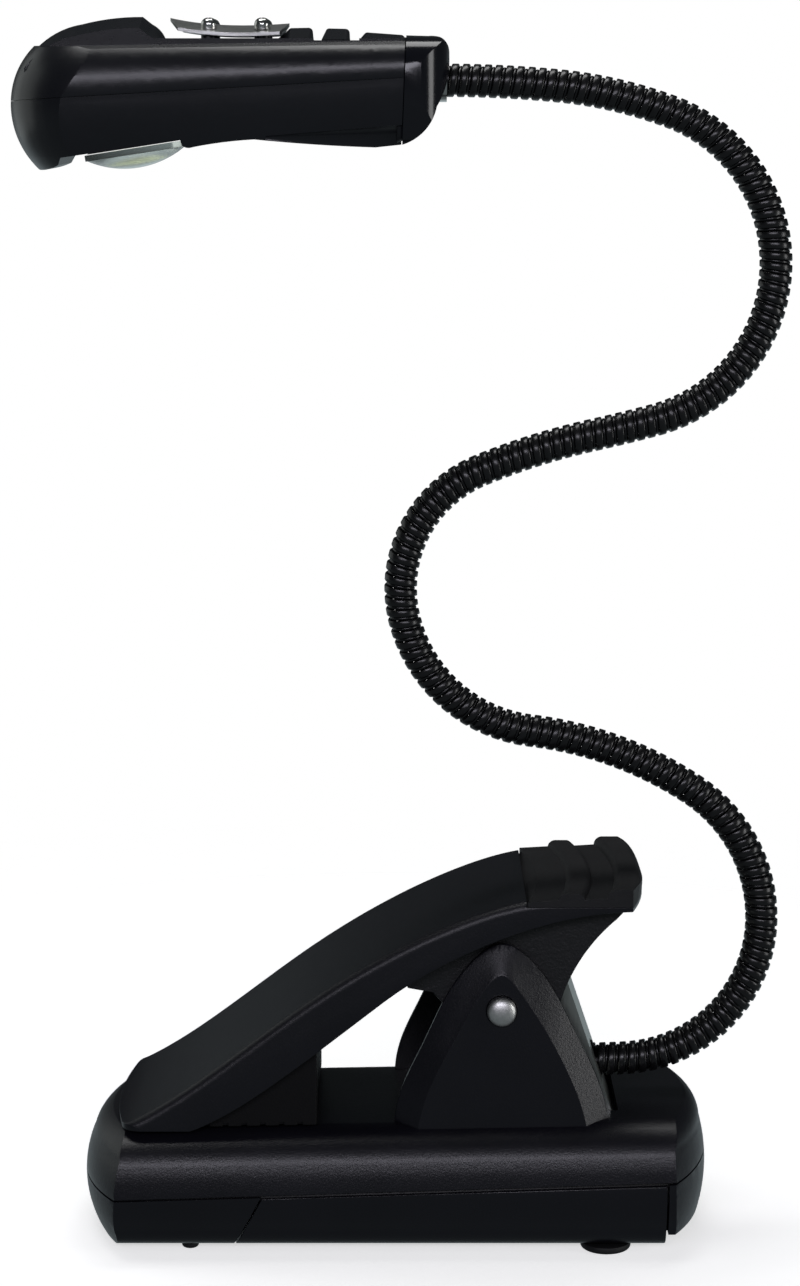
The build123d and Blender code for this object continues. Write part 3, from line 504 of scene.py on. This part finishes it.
def softened(node, width, sharp=28.0, crease=30.0, steps=2, work=None):
    """Copy of a frame node with small rounded edges, in its place."""
    work = work or clean_copy(node)
    edges = [e for e in work.edges if e.is_manifold and e.calc_face_angle(0) > radians(sharp)]
    made = bmesh.ops.bevel(work, geom=edges, offset=width * MM, offset_type="OFFSET",
                           segments=steps, profile=0.5, affect="EDGES", clamp_overlap=True,
                           material=-1)
    layer = work.verts.layers.float.new("edge")
    for face in made["faces"]:
        for vert in face.verts:
            vert[layer] = 1.0
    piece = new_piece(node + "_soft", work, slot_of[node], body_of[node])
    piece.data.shade_smooth()
    piece.data.set_sharp_from_angle(angle=radians(crease))
    level = piece.modifiers.new("even shading", "WEIGHTED_NORMAL")
    level.keep_sharp = True
    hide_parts(node)
    print(node, "edges", len(edges), "faces", len(piece.data.polygons))
    return piece


# %% Soften the base, the lever and the head
softened("base_upper_shell", 0.20, crease=34)
softened("base_lower_shell", 0.16)
softened("battery_door", 0.16)
softened("cheek_near", 0.25, sharp=17, crease=34)
softened("cheek_far", 0.25, sharp=17, crease=34)
softened("clamp_lever", 0.22)
softened("lever_core", 0.20)
# The jaw pads take the darker rubber copy, which is painted shade.
for pad_node in ("upper_jaw_pad", "lower_jaw_pad"):
    softened(pad_node, 0.25).data.materials[0] = pad_rubber_painted_shade
softened("rubber_feet", 0.25)
softened("front_nubs", 0.20)
softened("steel_bracket", 0.12)
softened("pivot_pin", 0.20)
softened("head_upper_shell", 0.14, sharp=15, crease=17)
softened("head_lower_shell", 0.14, sharp=15, crease=17)
softened("head_end_cap", 0.16)
softened("top_plate", 0.12)
softened("switch_knob", 0.25)
softened("neck_ferrule", 0.20)

# %% [markdown]
# ### The thumb grip
# The grip's ribs bow towards the end of the lever, which the thumb feels as a cupped
# shape. The copy is cut into strips across the lever and each strip's top is moved
# along by a parabola, before the edges are rounded.

# %% Bow the ribs
HALF_STRIPS = 10
BOW = 1.9 * MM          # how far the middle of a rib moves
STILL_LENGTH = 6 * MM   # the bow dies out towards the end over this length
STILL_HEIGHT = 0.2 * MM
work = clean_copy("thumb_grip")
grip_low, grip_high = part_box("thumb_grip")
half = grip_high[1]
for k in range(1 - HALF_STRIPS, HALF_STRIPS):
    bmesh.ops.bisect_plane(work, geom=work.verts[:] + work.edges[:] + work.faces[:],
                           plane_co=(0, half * k / HALF_STRIPS, 0), plane_no=(0, 1, 0))
for vert in work.verts:
    if vert.co.z > grip_low[2] + STILL_HEIGHT:
        across = 1.0 - (vert.co.y / half) ** 2
        along = min(max((grip_high[0] - vert.co.x) / STILL_LENGTH, 0.0), 1.0)
        vert.co.x += BOW * across * along
softened("thumb_grip", 0.16, work=work)

# %% [markdown]
# ### The lens ring
# The ring that holds the lens is sunk in the head's underside. Its lower rim is trimmed
# to the slope of the shell's edge, so that only the lens stands out.

# %% Trim the lens ring
RIM_X, RIM_Z, RIM_RISE = -50.0, 163.95, 0.147   # a point in mm and the rise per mm
work = clean_copy("lens_bezel")
for vert in work.verts:
    rim_z = RIM_Z + (vert.co.x / MM - RIM_X) * RIM_RISE
    vert.co.z = max(vert.co.z, rim_z * MM)
bmesh.ops.remove_doubles(work, verts=work.verts, dist=2 * SAME_POINT)
softened("lens_bezel", 0.10, work=work)

# %% [markdown]
# ### The pin's heads
# Each end of the pivot pin is riveted over into a low dome. A flattened ball, half sunk
# in the pin, gives that shape.

# %% Rivet domes
DOME_FLATNESS = 0.45
pin_low, pin_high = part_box("pivot_pin")
middle = [(a + b) / 2 for a, b in zip(pin_low, pin_high)]
radius = (pin_high[0] - pin_low[0]) / 2 - 0.1 * MM
for side, y in (("near", pin_low[1]), ("far", pin_high[1])):
    work = bmesh.new()
    bmesh.ops.create_uvsphere(work, u_segments=40, v_segments=24, radius=radius)
    bmesh.ops.scale(work, vec=(1, DOME_FLATNESS, 1), verts=work.verts)
    bmesh.ops.translate(work, vec=(middle[0], y, middle[2]), verts=work.verts)
    dome = new_piece("pin_dome_" + side, work, "nickel", "base")
    dome.data.shade_smooth()
    dome.data.materials[0] = rivet
print("pin dome radius", round(radius / MM, 2))

# %% [markdown]
# ### The tongue behind the cap's seam
# The end cap pushes into the shells with a tongue, so nothing shines through the seam.
# A slice of the cap, made a little smaller and moved into the gap, stands for it.

# %% Seam tongue
TONGUE_END = 1.6 * MM    # where the slice is cut off, along X
TONGUE_SIZE = 0.965
TONGUE_SHIFT = 0.8 * MM
work = clean_copy("head_end_cap")
bmesh.ops.bisect_plane(work, geom=work.verts[:] + work.edges[:] + work.faces[:],
                       plane_co=(TONGUE_END, 0, 0), plane_no=(1, 0, 0), clear_outer=True)
bmesh.ops.contextual_create(work, geom=[e for e in work.edges if e.is_boundary])
cap_low, cap_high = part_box("head_end_cap")
middle_z = (cap_low[2] + cap_high[2]) / 2
for vert in work.verts:
    vert.co.y *= TONGUE_SIZE
    vert.co.z = middle_z + (vert.co.z - middle_z) * TONGUE_SIZE
    vert.co.x -= TONGUE_SHIFT
bmesh.ops.recalc_face_normals(work, faces=work.faces)
new_piece("seam_tongue", work, "head_black", "head")
print("tongue from the cap's slice up to", TONGUE_END / MM, "mm")

# %% [markdown]
# ### Lips inside the base
# The upper shell has a thin lip that hangs inside the lower one, which keeps dust and
# light out of the parting groove. The jaw pad has a low skirt at each side that closes
# the ends of its grooves.

# %% Parting lip
PARTING_SLOPE = radians(1.83)
PARTING_Z = 10.5 * MM
LIP_HEIGHT = 1.0 * MM
LIP_DROP = 0.8 * MM
work = clean_copy("base_upper_shell")
at_middle = Vector((0, 0, PARTING_Z))
upright = Vector((-sin(PARTING_SLOPE), 0, 1)).normalized()
bmesh.ops.bisect_plane(work, geom=work.verts[:] + work.edges[:] + work.faces[:],
                       plane_co=at_middle + upright * LIP_HEIGHT, plane_no=upright,
                       clear_outer=True)
bmesh.ops.holes_fill(work, edges=[e for e in work.edges if e.is_boundary], sides=0)
bmesh.ops.scale(work, vec=(0.985, 0.975, 1), verts=work.verts)
bmesh.ops.translate(work, vec=(0, 0, -LIP_DROP), verts=work.verts)
bmesh.ops.recalc_face_normals(work, faces=work.faces)
new_piece("parting_lip", work, "core_black", "base")
print("lip hangs", LIP_DROP / MM, "mm into the lower shell")

# %% Pad skirts
# The skirts take the same darker rubber copy, which is painted shade.
SKIRT_INSET = 0.5 * MM
SKIRT_THICK, SKIRT_TALL = 0.7 * MM, 1.5 * MM
SKIRT_Z = 1.15 * MM      # its middle above the pad's underside
SKIRT_TILT = radians(-1.05)
pad_low, pad_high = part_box("upper_jaw_pad")
for side, y in (("near", pad_low[1] + SKIRT_INSET), ("far", pad_high[1] - SKIRT_INSET)):
    work = bmesh.new()
    bmesh.ops.create_cube(work, size=1.0)
    skirt_size = (pad_high[0] - pad_low[0] - 0.8 * MM, SKIRT_THICK, SKIRT_TALL)
    bmesh.ops.scale(work, vec=skirt_size, verts=work.verts)
    bmesh.ops.bevel(work, geom=work.edges[:], offset=0.15 * MM, offset_type="OFFSET",
                    segments=2, profile=0.5, affect="EDGES", clamp_overlap=True, material=-1)
    bmesh.ops.rotate(work, matrix=Matrix.Rotation(SKIRT_TILT, 3, "Y"), verts=work.verts)
    skirt_middle = ((pad_low[0] + pad_high[0]) / 2, y, pad_low[2] + SKIRT_Z)
    bmesh.ops.translate(work, vec=skirt_middle, verts=work.verts)
    skirt = new_piece("pad_skirt_" + side, work, "grip_rubber", "lever")
    skirt.data.materials[0] = pad_rubber_painted_shade
    print(skirt.name, "length", round(skirt_size[0] / MM, 1), "mm")

# %% [markdown]
# ## The gooseneck
# A gooseneck is two wires wound together: a broad outer band, and a narrower wire
# that fills the gap between its turns. One turn of each is a short profile spun about
# the Z axis while it climbs by one pitch. The straight winding is then laid along the
# neck's own line, so the turns open on the outside of every bend.

# %% The neck's line
NECK_START = (29.0, 24.6)   # X and Z in mm, where the neck leaves the bracket
# Each arc's length in mm and its turn in degrees.
ARCS = [(6.0, 4.0), (32.0, 83.5), (25.0, 59.0), (26.5, 26.5), (28.5, -71.5), (27.0, -79.0),
        (18.0, -10.0), (9.5, 2.5), (61.5, 144.5), (17.5, 15.0), (17.5, 5.5)]
JOINTS = [18.0, 66.0, 112.0, 168.0, 214.0, 258.0]   # distance of each joint in mm
NECK_LENGTH = sum(length for length, turn in ARCS)


def neck_line(distance):
    """Point and direction of the neck's middle at a distance in mm from the base."""
    x, z = NECK_START
    heading = 0.0
    for length, turn in ARCS:
        step = min(length, distance)
        swept = radians(turn) * step / length
        radius = length / radians(turn)
        x += radius * (sin(heading + swept) - sin(heading))
        z += radius * (cos(heading) - cos(heading + swept))
        heading += swept
        distance -= step
        if distance <= 1e-9:
            break
    return Vector((x, 0, z)) * MM, Vector((cos(heading), 0, sin(heading)))


print("neck", NECK_LENGTH, "mm, ends at", neck_line(NECK_LENGTH)[0] / MM)

# %% Wind one wire
PITCH = 1.62   # climb of one turn in mm
STEPS = 22     # segments of one turn
# Closed outlines in mm: distance from the middle, and height along the neck.
BAND = [(1.95, -0.46), (2.42, -0.50), (2.50, -0.40), (2.50, 0.40), (2.42, 0.50), (1.95, 0.46)]
INNER = [(1.70, 0.44), (2.06, 0.56), (2.17, 0.72), (2.17, 0.90), (2.06, 1.06), (1.70, 1.18)]


def wound(work, profile, start, turns):
    """Spins a closed profile into a helix that starts at a height in mm."""
    ring = [work.verts.new((r * MM, 0, (z + start) * MM)) for r, z in profile]
    loop = [work.edges.new((a, b)) for a, b in zip(ring, ring[1:] + ring[:1])]
    work.faces.new(ring)
    count = round(turns * STEPS)
    made = bmesh.ops.spin(work, geom=ring + loop, cent=(0, 0, 0), axis=(0, 0, 1),
                          dvec=(0, 0, PITCH * MM / STEPS), angle=count * 2 * pi / STEPS,
                          steps=count, use_merge=False)
    rim = [part for part in made["geom_last"]
           if isinstance(part, (bmesh.types.BMVert, bmesh.types.BMEdge))]
    bmesh.ops.contextual_create(work, geom=rim)


# %% Lay the windings along the neck
FIRST_TURN_AT = 0.5                 # height of the first turn's middle in mm
BLEND_REACH, LAST_REACH = 12.0, 9.0   # mm on each side of a joint
ends = [0.0, 42.0, 89.0, 140.0, 191.0, 236.0, NECK_LENGTH]
for k, (start, stop) in enumerate(zip(ends, ends[1:])):
    work = bmesh.new()
    first_turn = round(start / PITCH)
    turns = round(stop / PITCH) - first_turn
    wound(work, BAND, first_turn * PITCH + FIRST_TURN_AT, turns)
    wound(work, INNER, first_turn * PITCH + FIRST_TURN_AT, turns)
    bmesh.ops.recalc_face_normals(work, faces=work.faces)
    for vert in work.verts:
        along = min(max(vert.co.z / MM, 0.0), NECK_LENGTH)
        middle, ahead = neck_line(along)
        upward = Vector((-ahead.z, 0, ahead.x))
        vert.co = middle + upward * vert.co.x + Vector((0, 1, 0)) * vert.co.y
    # Laying a winding down mirrors it, which turns its faces inward, so they turn back.
    bmesh.ops.reverse_faces(work, faces=work.faces)
    coil = new_piece(f"gooseneck_{k + 1}", work, "neck_black")
    coil.data.shade_smooth()
    coil.data.set_sharp_from_angle(angle=radians(50))
    reach = BLEND_REACH if k < 5 else LAST_REACH
    neck_line(JOINTS[k] - reach)[0]
    neck_line(JOINTS[k] + reach)[0]
    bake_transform(coil)
    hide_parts(f"neck_{k + 1}", *(["neck_7"] if k == 5 else []))
    print(coil.name, "turns", turns, "faces", len(coil.data.polygons))
